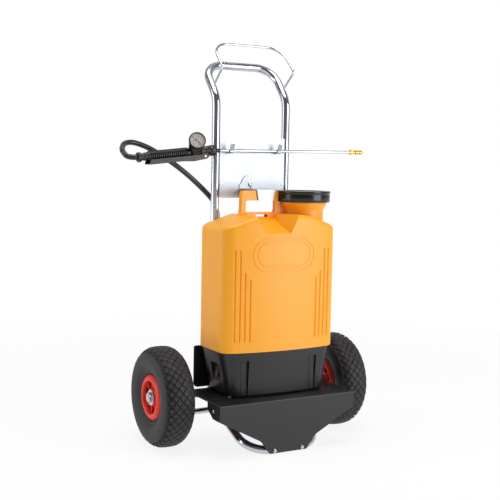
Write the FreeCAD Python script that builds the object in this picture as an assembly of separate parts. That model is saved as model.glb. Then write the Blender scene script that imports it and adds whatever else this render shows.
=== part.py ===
"""Wheeled sprayer cart: a bent-tube hand cart with two pneumatic wheels, carrying a 16 litre
knapsack sprayer whose lance hangs in hooks between the uprights.

Millimetres.  +Z is up, the cart faces -Y, and +X is to the right seen from the front.
The origin is on the ground, in the middle of the cart's footprint.
"""
import FreeCAD, Part
import math
import os

from FreeCAD import Placement, Rotation, Vector

os.makedirs("parts", exist_ok=True)

# ---------------------------------------------------------------- driving dimensions
# Wheels, 260 x 85 pneumatic on a 20 mm axle
WHEEL_R = 130.0
WHEEL_HALF = 42.5
TRACK_HALF = 263.0
AXLE_Y = 37.0
AXLE_Z = WHEEL_R
AXLE_R = 10.0
RIM_R = 61.2
RIM_HALF = 29.7
HUB_HALF = 30.0
RIB_COUNT = 8
BEARING_R = 17.5
BEARING_WIDTH = 11.0

# Frame: one 22 mm tube
TUBE_R = 11.0
TUBE_WALL = 1.5
UPRIGHT_X = 106.3
UPRIGHT_Y = 61.0
FOOT_Z = TUBE_R
FOOT_Y = -148.5
HEEL_Z = 96.0
LEAN_Z = 903.0
HANDLE_Y = 139.0
HANDLE_Z = 993.8
HANDLE_CORNER_R = 55.0
CROSS_R = 8.0
CROSS_HALF = 205.0
HOOP_R = 3.0

# Sheet-metal platform
SHEET = 2.5
DECK_TOP = 140.5
DECK_HALF = 199.0
DECK_REAR = 26.0
APRON_Y = FOOT_Y - TUBE_R - SHEET
EAR_HALF = 210.0
EAR_FRONT = -30.0
FLANGE_DEPTH = 40.0
BOLT_X = 40.6
BACK_HALF = 168.0
BACK_LOW = 142.0
BACK_HIGH = 253.0
BACK_Y = UPRIGHT_Y - TUBE_R - SHEET

# Zinc plate and its lance hooks
PLATE_HALF = 98.4
PLATE_LOW = 641.0
PLATE_HIGH = 801.0
PLATE_FRONT = 51.7
PLATE_THICK = 1.5
HOOK_XS = (-73.5, 71.0)

# Lance
LANCE_Y = 39.0
LANCE_Z = 764.0
LANCE_R = 4.0
LANCE_END = 347.0
LANCE_TILT = 0.6
GRIP_X = -138.4
GRIP_TILT = 6.2
GRIP_LENGTH = 201.0
HOSE_R = 7.0

# Sprayer
TANK_X = 4.0
TANK_HALF = 170.5
TANK_LOW_HALF = 165.0
TANK_FRONT = -123.3
BOW_R = 700.0
TANK_REAR = 37.0
TANK_LOW = 257.0
TANK_TOP = 603.5
SHOULDER_Z = 570.6
CROWN_X = 72.0
TANK_WALL = 4.0
BASE_LOW = DECK_TOP
BASE_BOTTOM_HALF = 140.0
CARRY_X = -19.0
CARRY_Y = -25.0
CARRY_TOP = 662.7
CARRY_HALF = 8.0
NECK_X = 104.6
NECK_Y = -38.5
NECK_TOP = 655.0
CAP_R = 72.5
CAP_LOW = 634.0
CAP_TOP = 663.5

RUN = 0.3                                   # play between pieces that part or turn

X, Y, Z = Vector(1, 0, 0), Vector(0, 1, 0), Vector(0, 0, 1)
ORIGIN = Vector(0, 0, 0)


# ---------------------------------------------------------------- shapes used all over
def block(x0, x1, y0, y1, z0, z1):
    return Part.makeBox(x1 - x0, y1 - y0, z1 - z0, Vector(x0, y0, z0))


def rod(radius, start, end):
    start = Vector(*start)
    axis = Vector(*end) - start
    return Part.makeCylinder(radius, axis.Length, start, axis)


def ring(outer, inner, start, end):
    return rod(outer, start, end).cut(rod(inner, start, end))


def hexagon(across_flats, start, end):
    start = Vector(*start)
    axis = Vector(*end) - start
    radius = across_flats / math.sqrt(3)
    corners = [Vector(radius * math.cos(k * math.pi / 3), radius * math.sin(k * math.pi / 3), 0)
               for k in range(6)]
    nut = Part.Face(Part.makePolygon(corners + corners[:1])).extrude(Z * axis.Length)
    return placed(nut, start, axis)


def placed(shape, centre, axis):
    """A shape built about +Z at the origin, turned to an axis and moved to a centre."""
    shape = shape.copy()
    shape.Placement = Placement(Vector(centre), Rotation(Z, Vector(axis))).multiply(shape.Placement)
    return shape


def rounded_wire(points, radii, closed):
    """Straight runs through the points, with a tangent arc of the given radius at each corner."""
    points = [Vector(*point) for point in points]
    count = len(points)
    corners = range(count) if closed else range(1, count - 1)
    arcs = {}
    for i in corners:
        here, before, after = points[i], points[i - 1], points[(i + 1) % count]
        if radii[i] <= 0:
            arcs[i] = (here, here, here)
            continue
        back = (before - here).normalize()
        ahead = (after - here).normalize()
        half = back.getAngle(ahead) / 2
        setback = radii[i] / math.tan(half)
        middle = here + (back + ahead).normalize() * (radii[i] / math.sin(half) - radii[i])
        arcs[i] = (here + back * setback, middle, here + ahead * setback)
    edges = []
    current = arcs[0][2] if closed else points[0]
    order = list(range(1, count)) + [0] if closed else list(corners)
    for i in order:
        start, middle, end = arcs[i]
        if (start - current).Length > 1e-6:
            edges.append(Part.LineSegment(current, start).toShape())
        if radii[i] > 0:
            edges.append(Part.Arc(start, middle, end).toShape())
        current = end
    if not closed:
        edges.append(Part.LineSegment(current, points[-1]).toShape())
    return Part.Wire(edges)


def prism(outline, axis, low, high):
    """An outline of (a, b, corner radius) in the plane square to an axis, pulled along it."""
    to_point = {"x": lambda a, b: (low, a, b),
                "y": lambda a, b: (a, low, b),
                "z": lambda a, b: (a, b, low)}[axis]
    way = {"x": X, "y": Y, "z": Z}[axis]
    wire = rounded_wire([to_point(a, b) for a, b, r in outline], [r for a, b, r in outline], True)
    return Part.Face(wire).extrude(way * (high - low))


def turned(outline, centre=(0, 0, 0), axis=(0, 0, 1)):
    """An outline of (radius, height, corner radius) turned about an axis."""
    wire = rounded_wire([(r, 0, h) for r, h, c in outline], [c for r, h, c in outline], True)
    return placed(Part.Face(wire).revolve(ORIGIN, Z, 360), centre, axis)


def swept(points, radii, radius):
    path = rounded_wire(points, radii, False)
    way = Vector(*points[1]) - Vector(*points[0])
    profile = Part.Wire(Part.Circle(Vector(*points[0]), way, radius).toShape())
    return path.makePipeShell([profile], True, False)


def bent_tube(points, radii, outer, inner):
    return swept(points, radii, outer).cut(swept(points, radii, inner))


def largest(shape):
    return max(shape.Solids, key=lambda solid: solid.Volume)


def mirrored(shape):
    return shape.mirror(ORIGIN, X)


def rectangle(x0, x1, y0, y1, front_r, rear_r):
    return [(x0, y0, front_r), (x1, y0, front_r), (x1, y1, rear_r), (x0, y1, rear_r)]


pieces = {}


def keep(name, *solids):
    pieces[name] = solids[0] if len(solids) == 1 else Part.makeCompound(list(solids))


# ---------------------------------------------------------------- bent tube frame
HEEL_R = 50.0
LEAN_R = 70.0
FOOT_CORNER_R = 61.0
SEAM_HALF = 0.3                             # the tube's two ends meet behind the apron


def frame_route():
    left = [(-SEAM_HALF, FOOT_Y, FOOT_Z),
            (-UPRIGHT_X, FOOT_Y, FOOT_Z),
            (-UPRIGHT_X, UPRIGHT_Y, HEEL_Z),
            (-UPRIGHT_X, UPRIGHT_Y, LEAN_Z),
            (-UPRIGHT_X, HANDLE_Y, HANDLE_Z)]
    right = [(-x, y, z) for x, y, z in reversed(left)]
    left_radii = [0, FOOT_CORNER_R, HEEL_R, LEAN_R, HANDLE_CORNER_R]
    return left + right, left_radii + left_radii[::-1]


def through_bolt(y_head, y_nut, x, z, shank_r, head_r, head_height):
    """A dome-head bolt along Y, head in front, with its nut behind."""
    dome = turned([(0, 0, 0), (head_r, 0, 0), (head_r, head_height - 2.6, 1.0),
                   (shank_r, head_height - 0.2, 1.5), (0, head_height, 0)], (x, y_head, z), (0, -1, 0))
    shank = rod(shank_r, (x, y_head, z), (x, y_nut + 7, z))
    nut = hexagon(shank_r * 3.3, (x, y_nut, z), (x, y_nut + 5, z))
    return dome.fuse([shank, nut])


route, route_radii = frame_route()
frame_solid = swept(route, route_radii, TUBE_R)
frame_tube = frame_solid.cut(swept(route, route_radii, TUBE_R - TUBE_WALL))

APRON_BOLT_R = 3.0
BACK_BOLT_R = 3.0
BACK_BOLT_ZS = (168.0, 232.0)
apron_bolts = [through_bolt(APRON_Y, FOOT_Y + TUBE_R, x, FOOT_Z, APRON_BOLT_R, 5.2, 5.0)
               for x in (-BOLT_X, BOLT_X)]
back_bolts = [through_bolt(BACK_Y, UPRIGHT_Y + TUBE_R, x, z, BACK_BOLT_R, 6.0, 3.8)
              for x in (-UPRIGHT_X, UPRIGHT_X) for z in BACK_BOLT_ZS]
rivet_xs = (-PLATE_HALF + 4.5, PLATE_HALF - 4.5)
RIVET_Z = 678.0
RIVET_R = 2.4
rivets = [turned([(0, 0, 0), (4.4, 0, 0), (4.0, 1.6, 1.0), (0, 2.0, 0)], (x, PLATE_FRONT, RIVET_Z),
                 (0, -1, 0)).fuse(rod(RIVET_R, (x, PLATE_FRONT, RIVET_Z), (x, 58, RIVET_Z)))
          for x in rivet_xs]
keep("apron_bolts", *apron_bolts)
keep("back_plate_bolts", *back_bolts)
keep("plate_rivets", *rivets)
keep("frame_tube", frame_tube.cut(apron_bolts + back_bolts + rivets))

# The wire hoop leans forward from the handle bends, then back over them.
HOOP_FOOT = (UPRIGHT_X, 82.0, 930.5)
HOOP_ELBOW = (108.2, 26.6, 978.5)
HOOP_TOP = (105.0, 94.0, 1046.5)
hoop_left = [(-x, y, z) for x, y, z in (HOOP_FOOT, HOOP_ELBOW, HOOP_TOP)]
hoop_right = [HOOP_TOP, HOOP_ELBOW, HOOP_FOOT]
hoop_radii = [0, 9, 50, 50, 9, 0]
keep("wire_hoop", swept(hoop_left + hoop_right, hoop_radii, HOOP_R).cut(frame_solid))

# The lower cross tube lies against the outside of both heel bends.
heel_ray = math.radians(38)
foot_leg = Vector(0, FOOT_Y - UPRIGHT_Y, FOOT_Z - HEEL_Z).normalize()
heel_half = foot_leg.getAngle(Z) / 2
heel_centre = Vector(0, UPRIGHT_Y - HEEL_R, HEEL_Z + HEEL_R / math.tan(heel_half))
cross_reach = HEEL_R + TUBE_R + CROSS_R
CROSS_Y = heel_centre.y + cross_reach * math.sin(heel_ray)
CROSS_Z = heel_centre.z - cross_reach * math.cos(heel_ray)
cross_ends = ((-CROSS_HALF, CROSS_Y, CROSS_Z), (CROSS_HALF, CROSS_Y, CROSS_Z))
keep("lower_cross_tube", ring(CROSS_R, CROSS_R - TUBE_WALL, *cross_ends))


def end_plug(side):
    plug = turned([(0, -12, 0), (CROSS_R - TUBE_WALL, -12, 0), (CROSS_R - TUBE_WALL, 0, 0),
                   (CROSS_R, 0, 0), (CROSS_R, 3, 1.2), (0, 3, 0)])
    return placed(plug, (side * CROSS_HALF, CROSS_Y, CROSS_Z), (side, 0, 0))


keep("tube_plugs", end_plug(-1), end_plug(1))

# ---------------------------------------------------------------- axle
AXLE_END = 304.0
THREAD_R = 8.0
WASHER_IN = TRACK_HALF + HUB_HALF + RUN
WASHER_OUT = WASHER_IN + 2.5
NUT_OUT = WASHER_OUT + 7.0
COLLAR_OUT = TRACK_HALF - HUB_HALF - RUN


def axle_point(x):
    return (x, AXLE_Y, AXLE_Z)


axle_middle = rod(AXLE_R, axle_point(-WASHER_IN), axle_point(WASHER_IN))
axle_threads = rod(THREAD_R, axle_point(-AXLE_END), axle_point(AXLE_END))
keep("axle", axle_middle.fuse(axle_threads).removeSplitter())
keep("axle_collars", *[ring(16, AXLE_R, axle_point(s * (COLLAR_OUT - 9)), axle_point(s * COLLAR_OUT))
                       for s in (-1, 1)])
keep("axle_washers", *[ring(20, THREAD_R, axle_point(s * WASHER_IN), axle_point(s * WASHER_OUT))
                       for s in (-1, 1)])


def axle_nut(side):
    nut = hexagon(24, axle_point(side * WASHER_OUT), axle_point(side * NUT_OUT))
    cone = turned([(0, -1, 0), (14.2, -1, 0), (14.2, 5.2, 0), (11.6, 7, 0), (0, 7, 0)],
                  axle_point(side * WASHER_OUT), (side, 0, 0))
    return nut.common(cone).cut(rod(THREAD_R, axle_point(0), axle_point(side * AXLE_END)))


keep("axle_nuts", axle_nut(-1), axle_nut(1))

# Each bracket is a plate on the outside of an upright, notched for the axle and carrying the deck.
BRACKET_THICK = 4.0
bracket_x = UPRIGHT_X + TUBE_R
bracket = prism([(UPRIGHT_Y, 98, 4), (UPRIGHT_Y, 137, 0), (DECK_REAR + 1, 137, 0),
                 (DECK_REAR, DECK_TOP - SHEET, 0), (-35, DECK_TOP - SHEET, 3), (-35, 126, 4),
                 (15, 98, 12)], "x", bracket_x, bracket_x + BRACKET_THICK)
bracket = bracket.cut(rod(AXLE_R, axle_point(0), axle_point(TRACK_HALF)))
keep("axle_brackets", bracket, mirrored(bracket))

# ---------------------------------------------------------------- platform
FLANGE_REAR = -95.0
SLOT_XS = (131.0, 171.0)
SLOT_FRONT, SLOT_REAR = -90.0, -68.0


def platform():
    deck = prism([(-DECK_HALF, APRON_Y, 0), (DECK_HALF, APRON_Y, 0), (DECK_HALF, EAR_FRONT - 12, 10),
                  (EAR_HALF, EAR_FRONT, 10), (EAR_HALF, DECK_REAR, 8), (-EAR_HALF, DECK_REAR, 8),
                  (-EAR_HALF, EAR_FRONT, 10), (-DECK_HALF, EAR_FRONT - 12, 10)],
                 "z", DECK_TOP - SHEET, DECK_TOP)
    low = DECK_TOP - FLANGE_DEPTH
    apron = prism([(-DECK_HALF, DECK_TOP, 0), (-DECK_HALF, low, 6), (-80.3, 38.5, 18), (-54.5, 4.0, 6),
                   (54.5, 4.0, 6), (80.3, 38.5, 18), (DECK_HALF, low, 6), (DECK_HALF, DECK_TOP, 0)],
                  "y", APRON_Y, APRON_Y + SHEET)
    flange = prism([(APRON_Y, DECK_TOP, 0), (APRON_Y, low, 0), (APRON_Y + 36, low, 14),
                    (FLANGE_REAR, low + 20, 10), (FLANGE_REAR, DECK_TOP, 0)],
                   "x", DECK_HALF - SHEET, DECK_HALF)
    body = deck.fuse([apron, flange, mirrored(flange)]).removeSplitter()
    bends = [edge for edge in body.Edges
             if edge.BoundBox.DiagonalLength > 60
             and abs(edge.BoundBox.ZMin - DECK_TOP) < 0.01 and edge.BoundBox.ZLength < 0.01
             and (edge.BoundBox.YMax < APRON_Y + 0.01
                  or (abs(abs(edge.BoundBox.Center.x) - DECK_HALF) < 0.01
                      and edge.BoundBox.YMin < APRON_Y + 1))]
    body = body.makeFillet(2.4, bends)
    for x in SLOT_XS:
        slot = prism([(x - 2.5, SLOT_FRONT, 2.4), (x + 2.5, SLOT_FRONT, 2.4), (x + 2.5, SLOT_REAR, 2.4),
                      (x - 2.5, SLOT_REAR, 2.4)], "z", DECK_TOP - SHEET - 1, DECK_TOP + 1)
        body = body.cut([slot, mirrored(slot)])
    return body


def corner_rivet(side):
    """The rivet that closes each front corner, through the side flange and the apron's folded tab."""
    x = side * DECK_HALF
    head = turned([(0, 0, 0), (4.2, 0, 0), (3.6, 1.8, 1.0), (0, 2.2, 0)], (x, -127, 120.6), (side, 0, 0))
    return head.fuse(rod(2.5, (x, -127, 120.6), (x - side * 7, -127, 120.6)))


def corner_tab(side):
    x = side * (DECK_HALF - SHEET)
    return block(min(x, x - side * 2), max(x, x - side * 2), APRON_Y + SHEET, -112, 106, 134)


corner_rivets = [corner_rivet(-1), corner_rivet(1)]
deck_body = platform().fuse([corner_tab(-1), corner_tab(1)])
keep("platform", deck_body.cut(corner_rivets + apron_bolts))
keep("corner_rivets", *corner_rivets)

# The back plate stands behind the base and is notched for the hose outlet.
OUTLET_X = 55.0
OUTLET_Z = 232.0
notch = prism([(OUTLET_X - 20, OUTLET_Z - 20, 8), (OUTLET_X + 20, OUTLET_Z - 20, 8),
               (OUTLET_X + 20, BACK_HIGH + 10, 0), (OUTLET_X - 20, BACK_HIGH + 10, 0)],
              "y", BACK_Y - 5, BACK_Y + 10)
back_plate = prism([(-BACK_HALF, BACK_LOW, 12), (BACK_HALF, BACK_LOW, 12), (BACK_HALF, BACK_HIGH, 5),
                    (-BACK_HALF, BACK_HIGH, 5)], "y", BACK_Y, BACK_Y + SHEET)
keep("back_plate", back_plate.cut([notch] + back_bolts))

# ---------------------------------------------------------------- lance plate and tank catch
HOOK_WIDTH = 10.5
HOOK_THICK = 2.5
HOOK_PLAY = 0.3
HOOK_INNER = LANCE_Z - LANCE_R - HOOK_PLAY       # where the lance rests


def lance_rise(x):
    """How much higher the lance lies at a place across the cart than at its grip."""
    return Z * (x - GRIP_X) * math.tan(math.radians(LANCE_TILT))


def lance_hook(x):
    """A strip struck out of the plate: forward under the lance, round, and up leaning forward."""
    tab = LANCE_Y - LANCE_R - 1.0
    lean, tip = 8.1, 18.0
    root = PLATE_FRONT + 1.0
    outline = [(root, HOOK_INNER, 0), (root, HOOK_INNER - HOOK_THICK, 0),
               (tab - HOOK_THICK, HOOK_INNER - HOOK_THICK, 4.8), (tab - HOOK_THICK, LANCE_Z, 6),
               (tab - HOOK_THICK - lean, LANCE_Z + tip, 0), (tab - lean, LANCE_Z + tip, 0),
               (tab, LANCE_Z, 5), (tab, HOOK_INNER, 2.9)]
    return prism(outline, "x", x - HOOK_WIDTH / 2, x + HOOK_WIDTH / 2).translated(lance_rise(x))


def hook_window(x):
    """The opening that the struck-out strip leaves in the plate."""
    half = HOOK_WIDTH / 2 + 1.0
    window = block(x - half, x + half, PLATE_FRONT - 1, PLATE_FRONT + 5, HOOK_INNER + 0.8, HOOK_INNER + 24)
    return window.translated(lance_rise(x))


CATCH_X = -8.0
CATCH_HALF = 26.5
SKIRT_HALF = 31.5
CATCH_BOLT_Z = 676.7
CATCH_THICK = 2.0
CATCH_TRAVEL = 27.0
CATCH_ARM_Z = CARRY_TOP + 1.3
CATCH_BACK = PLATE_FRONT - RUN
LIP_BACK = CARRY_Y - CARRY_HALF - 2.0
SLOT_HALF = 3.3

plate = prism([(-PLATE_HALF, PLATE_LOW, 4), (PLATE_HALF, PLATE_LOW, 4), (PLATE_HALF, PLATE_HIGH, 4),
               (-PLATE_HALF, PLATE_HIGH, 4)], "y", PLATE_FRONT, PLATE_FRONT + PLATE_THICK)
plate = plate.cut([hook_window(x) for x in HOOK_XS])
plate = plate.fuse([lance_hook(x) for x in HOOK_XS]).removeSplitter()
catch_screw = turned([(0, 0, 0), (5.5, 0, 0), (5.5, 1.0, 0.8), (2.5, 3.4, 1.5), (0, 3.6, 0)],
                     (CATCH_X, CATCH_BACK - CATCH_THICK - RUN, CATCH_BOLT_Z), (0, -1, 0))
catch_screw = catch_screw.fuse([
    rod(3.0, (CATCH_X, CATCH_BACK - CATCH_THICK - RUN, CATCH_BOLT_Z), (CATCH_X, 62, CATCH_BOLT_Z)),
    hexagon(10, (CATCH_X, PLATE_FRONT + PLATE_THICK, CATCH_BOLT_Z),
            (CATCH_X, PLATE_FRONT + PLATE_THICK + 5, CATCH_BOLT_Z))])
keep("catch_screw", catch_screw)
keep("lance_plate", plate.cut(rivets + [catch_screw]).cut(frame_solid))


def tank_catch():
    """A round-topped flange against the plate, an arm over the tank's handle, a lip in front of it."""
    top = CATCH_ARM_Z + CATCH_THICK
    foot = CATCH_BOLT_Z - CATCH_TRAVEL - SLOT_HALF - 4.0
    left, right = CATCH_X - CATCH_HALF, CATCH_X + CATCH_HALF
    skirt_left, skirt_right = CATCH_X - SKIRT_HALF, CATCH_X + SKIRT_HALF
    flange = prism([(skirt_left, foot, 1.5), (skirt_right, foot, 1.5), (skirt_right, CATCH_BOLT_Z, 2),
                    (right, CATCH_BOLT_Z, 0), (right, CATCH_BOLT_Z + CATCH_HALF - 2, CATCH_HALF - 0.5),
                    (left, CATCH_BOLT_Z + CATCH_HALF - 2, CATCH_HALF - 0.5), (left, CATCH_BOLT_Z, 0),
                    (skirt_left, CATCH_BOLT_Z, 2)], "y", CATCH_BACK - CATCH_THICK, CATCH_BACK)
    arm = block(left, right, LIP_BACK - CATCH_THICK, CATCH_BACK, CATCH_ARM_Z, top)
    lip = prism([(left, top, 0), (left + 5, top - 29, 3), (right - 5, top - 29, 3), (right, top, 0)],
                "y", LIP_BACK - CATCH_THICK, LIP_BACK)
    slot = prism([(CATCH_X - SLOT_HALF, CATCH_BOLT_Z + SLOT_HALF, 3.2),
                  (CATCH_X + SLOT_HALF, CATCH_BOLT_Z + SLOT_HALF, 3.2),
                  (CATCH_X + SLOT_HALF, CATCH_BOLT_Z - CATCH_TRAVEL - SLOT_HALF, 3.2),
                  (CATCH_X - SLOT_HALF, CATCH_BOLT_Z - CATCH_TRAVEL - SLOT_HALF, 3.2)],
                 "y", CATCH_BACK - 5, CATCH_BACK + 5)
    notch = block(CATCH_X - 6.3, CATCH_X + 6.3, CATCH_BACK - 8, CATCH_BACK + 1, CATCH_ARM_Z - 1, top + 1)
    return flange.fuse([arm, lip]).removeSplitter().cut([slot, notch])


keep("tank_catch", tank_catch())

# ---------------------------------------------------------------- wheels
# A wheel is built about +Z, which then points outwards along the axle.
WEB_HALF = 2.5
RIM_WALL_R = 50.0
VALVE_R = 31.0


def rim():
    shell = turned([(46.5, -RIM_HALF, 0), (RIM_R, -RIM_HALF, 1.0), (RIM_R, -RIM_HALF + 2.6, 1.0),
                    (RIM_WALL_R + 3, -RIM_HALF + 3.6, 2.0), (RIM_WALL_R, -18, 2.0),
                    (RIM_WALL_R, 18, 2.0), (RIM_WALL_R + 3, RIM_HALF - 3.6, 2.0),
                    (RIM_R, RIM_HALF - 2.6, 1.0), (RIM_R, RIM_HALF, 1.0), (46.5, RIM_HALF, 1.0)])
    web = turned([(20, -WEB_HALF, 0), (48, -WEB_HALF, 0), (48, WEB_HALF, 0), (20, WEB_HALF, 0)])
    hub = turned([(12.5, -HUB_HALF, 0), (22.5, -HUB_HALF, 1.5), (22.5, HUB_HALF, 1.5), (12.5, HUB_HALF, 0)])
    rib = prism([(21, 24, 0), (21, -24, 0), (47.5, -16, 0), (47.5, 16, 0)], "y", -1.7, 1.7)
    ribs = []
    for k in range(RIB_COUNT):
        arm = rib.copy()
        arm.rotate(ORIGIN, Z, 30 + k * 360.0 / RIB_COUNT)
        ribs.append(arm)
    body = shell.fuse([web, hub] + ribs)
    seats = [rod(BEARING_R, (0, 0, s * (HUB_HALF + 1)), (0, 0, s * (HUB_HALF - BEARING_WIDTH)))
             for s in (-1, 1)]
    port = rod(6.5, (VALVE_R, 0, -10), (VALVE_R, 0, 10))
    port.rotate(ORIGIN, Z, 30 + 1.5 * 360.0 / RIB_COUNT)
    return body.cut(seats + [port])


def tyre():
    outer = [(57, 28.5, 2), (62, 30.3, 3), (78, 41.2, 14), (101, WHEEL_HALF, 16), (123, 37.5, 12),
             (WHEEL_R, 20, 16)]
    inner = [(60, 22, 3), (78, 34.5, 14), (101, 36, 16), (117, 31, 10), (121, 0, 0)]
    outline = outer + [(r, -h, c) for r, h, c in outer[::-1]]
    outline += [(r, -h, c) for r, h, c in inner[:-1]] + [(r, h, c) for r, h, c in inner[:-1][::-1]]
    return turned(outline)


def inner_tube():
    """Butyl tube against the inside of the tyre, with its valve stem through the rim."""
    outer = turned([(55, -14, 8), (72, -30, 16), (101, -34, 18), (114, -22, 14), (114, 22, 14),
                    (101, 34, 18), (72, 30, 16), (55, 14, 8)])
    inner = turned([(57, -12, 6), (73, -28, 14), (100, -32, 16), (112, -20, 12), (112, 20, 12),
                    (100, 32, 16), (73, 28, 14), (57, 12, 6)])
    stem = rod(4.0, (VALVE_R + 9, 0, 9), (57, 0, 9))
    bore = rod(1.2, (VALVE_R + 5, 0, 9), (60, 0, 9))
    body = outer.cut(inner).fuse(stem).cut(bore)
    body.rotate(ORIGIN, Z, 30 + 1.5 * 360.0 / RIB_COUNT)
    return body


def bearing(side):
    low, high = sorted((side * HUB_HALF, side * (HUB_HALF - BEARING_WIDTH)))
    play = 0.05
    return turned([(AXLE_R + play, low, 0), (BEARING_R, low, 0.6), (BEARING_R, high, 0.6),
                   (AXLE_R + play, high, 0)])


wheel_rim = rim()
valve_hole = rod(4.0, (VALVE_R + 8, 0, 9), (58, 0, 9))
valve_hole.rotate(ORIGIN, Z, 30 + 1.5 * 360.0 / RIB_COUNT)
wheel_rim = wheel_rim.cut(valve_hole)
wheel_tyre = tyre().cut(wheel_rim)
for side, name in ((-1, "left"), (1, "right")):
    hub_centre, outward = axle_point(side * TRACK_HALF), (side, 0, 0)
    keep("rim_" + name, placed(wheel_rim, hub_centre, outward))
    keep("tyre_" + name, placed(wheel_tyre, hub_centre, outward))
    keep("inner_tube_" + name, placed(inner_tube(), hub_centre, outward))
    keep("bearings_" + name, placed(bearing(-1), hub_centre, outward),
         placed(bearing(1), hub_centre, outward))

# ---------------------------------------------------------------- tank
def bowed_plan(half, front, rear, front_r, rear_r, inset, z):
    """A plan outline at a height: bowed front, straight sides, rounded corners."""
    half, front, rear = half - inset, front + inset, rear - inset
    bow_r, front_r, rear_r = BOW_R - inset, front_r - inset, rear_r - inset
    bow_centre = Vector(TANK_X, front + bow_r, z)
    rise = math.sqrt((bow_r - front_r) ** 2 - (half - front_r) ** 2)
    corner = bow_centre + Vector(half - front_r, -rise, 0)
    outward = (corner - bow_centre).normalize()
    rear_corner = Vector(TANK_X + half - rear_r, rear - rear_r, z)
    right = [bow_centre + outward * bow_r, corner + (outward + X).normalize() * front_r,
             corner + X * front_r, rear_corner + X * rear_r,
             rear_corner + (X + Y).normalize() * rear_r, rear_corner + Y * rear_r]
    left = [Vector(2 * TANK_X - p.x, p.y, z) for p in right]
    nose = Vector(TANK_X, front, z)
    return Part.Wire([Part.Arc(left[0], nose, right[0]).toShape(), Part.Arc(*right[:3]).toShape(),
                      Part.LineSegment(right[2], right[3]).toShape(), Part.Arc(*right[3:]).toShape(),
                      Part.LineSegment(right[5], left[5]).toShape(), Part.Arc(*left[:2:-1]).toShape(),
                      Part.LineSegment(left[3], left[2]).toShape(), Part.Arc(*left[2::-1]).toShape()])


def front_y(x):
    """The tank's bowed front at a place across it."""
    return TANK_FRONT + BOW_R - math.sqrt(BOW_R ** 2 - (x - TANK_X) ** 2)


def tank_form(inset):
    """The blow-moulded body: an arched front view crossed with the bowed plan, its crown edge round."""
    half, low, top = TANK_HALF - inset, TANK_LOW + inset, TANK_TOP - inset
    right = [(TANK_LOW_HALF - inset, low, 0), (half + 0.4, 310, 60),
             (half + 0.4, SHOULDER_Z - 0.72 * inset, 24), (CROWN_X, top, 120)]
    outline = right + [(-x, z, r) for x, z, r in right[::-1]]
    arch = prism([(TANK_X + x, z, r) for x, z, r in outline], "y", TANK_FRONT - 1, TANK_REAR + 1)
    plan = Part.Face(bowed_plan(TANK_HALF, TANK_FRONT, TANK_REAR, 42, 30, inset, low))
    body = arch.common(plan.extrude(Z * 360)).removeSplitter()
    crown = [edge for edge in body.Edges
             if edge.BoundBox.ZMin > SHOULDER_Z - 40 and edge.BoundBox.XLength > 20
             and edge.BoundBox.YMax < TANK_FRONT + 60]
    return body.makeFillet(12.0 - inset, crown)


def pocket(shift):
    """Sloping finger pocket in the crown, in front of the handle."""
    def section(y, low, half_low, high, half_high):
        return Part.makePolygon([Vector(CARRY_X - half_low, y, low), Vector(CARRY_X + half_low, y, low),
                                 Vector(CARRY_X + half_high, y, high),
                                 Vector(CARRY_X - half_high, y, high),
                                 Vector(CARRY_X - half_low, y, low)])
    front = section(-130, 555 - shift, 37, 611, 68.7)
    rear = section(-35 + shift, 592 - shift, 37, 625, 58)
    return Part.makeLoft([front, rear], True, True)


def rear_trough(shift):
    return prism([(CARRY_X - 58 - shift, 620, 0), (CARRY_X - 48, 586 - shift, 8),
                  (CARRY_X + 48, 586 - shift, 8), (CARRY_X + 58 + shift, 620, 0)],
                 "y", CARRY_Y + CARRY_HALF - shift, TANK_REAR + 5)


FLUTES = ((138, 513), (124.6, 513), (111.4, 457), (97.5, 440))
FLUTE_X = TANK_X - 1.5
FLUTE_LOW = 287.0
FLUTE_R = 3.6


def flute(x, high):
    """A groove pressed into the front, round at both ends."""
    y = front_y(x) - 1.2
    groove = rod(FLUTE_R, (x, y, FLUTE_LOW), (x, y, high))
    ends = [Part.makeSphere(FLUTE_R, Vector(x, y, z)) for z in (FLUTE_LOW, high)]
    return groove.fuse(ends)


EMBLEM_X = TANK_X - 1.3


def stadium(half_length, half_height, z):
    r = half_height - 0.01
    x0, x1 = EMBLEM_X - half_length, EMBLEM_X + half_length
    return prism([(x0, z - half_height, r), (x1, z - half_height, r), (x1, z + half_height, r),
                  (x0, z + half_height, r)], "y", TANK_FRONT - 5, TANK_FRONT + 12)


def emblem_rim():
    """Two plain raised stadium lines round an empty panel, following the bowed front."""
    proud = Part.makeCylinder(BOW_R + 1.0, 120, Vector(TANK_X, TANK_FRONT + BOW_R, 440))
    outer = stadium(90.7, 43.7, 503.3).cut(stadium(87.7, 40.7, 503.3))
    inner = stadium(78.3, 31.8, 504.5).cut(stadium(75.9, 29.4, 504.5))
    return [outer.common(proud), inner.common(proud)]


def carry_handle():
    """The moulded handle on the crown, whose right post runs down into the neck."""
    y0, y1 = CARRY_Y - CARRY_HALF, CARRY_Y + CARRY_HALF
    web = prism([(-88, 590, 0), (-78, 606, 6), (-75.8, CARRY_TOP, 8), (31.8, CARRY_TOP, 4),
                 (31.8, 633, 2), (43.5, 631, 2), (46, 606, 8), (58, 590, 0)], "y", y0, y1)
    grip_hole = prism([(-65.2, 607, 5), (24.2, 607, 5), (24.2, 637.5, 5), (-65.2, 637.5, 5)],
                      "y", y0 - 1, y1 + 1)
    return web.cut(grip_hole)


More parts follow.
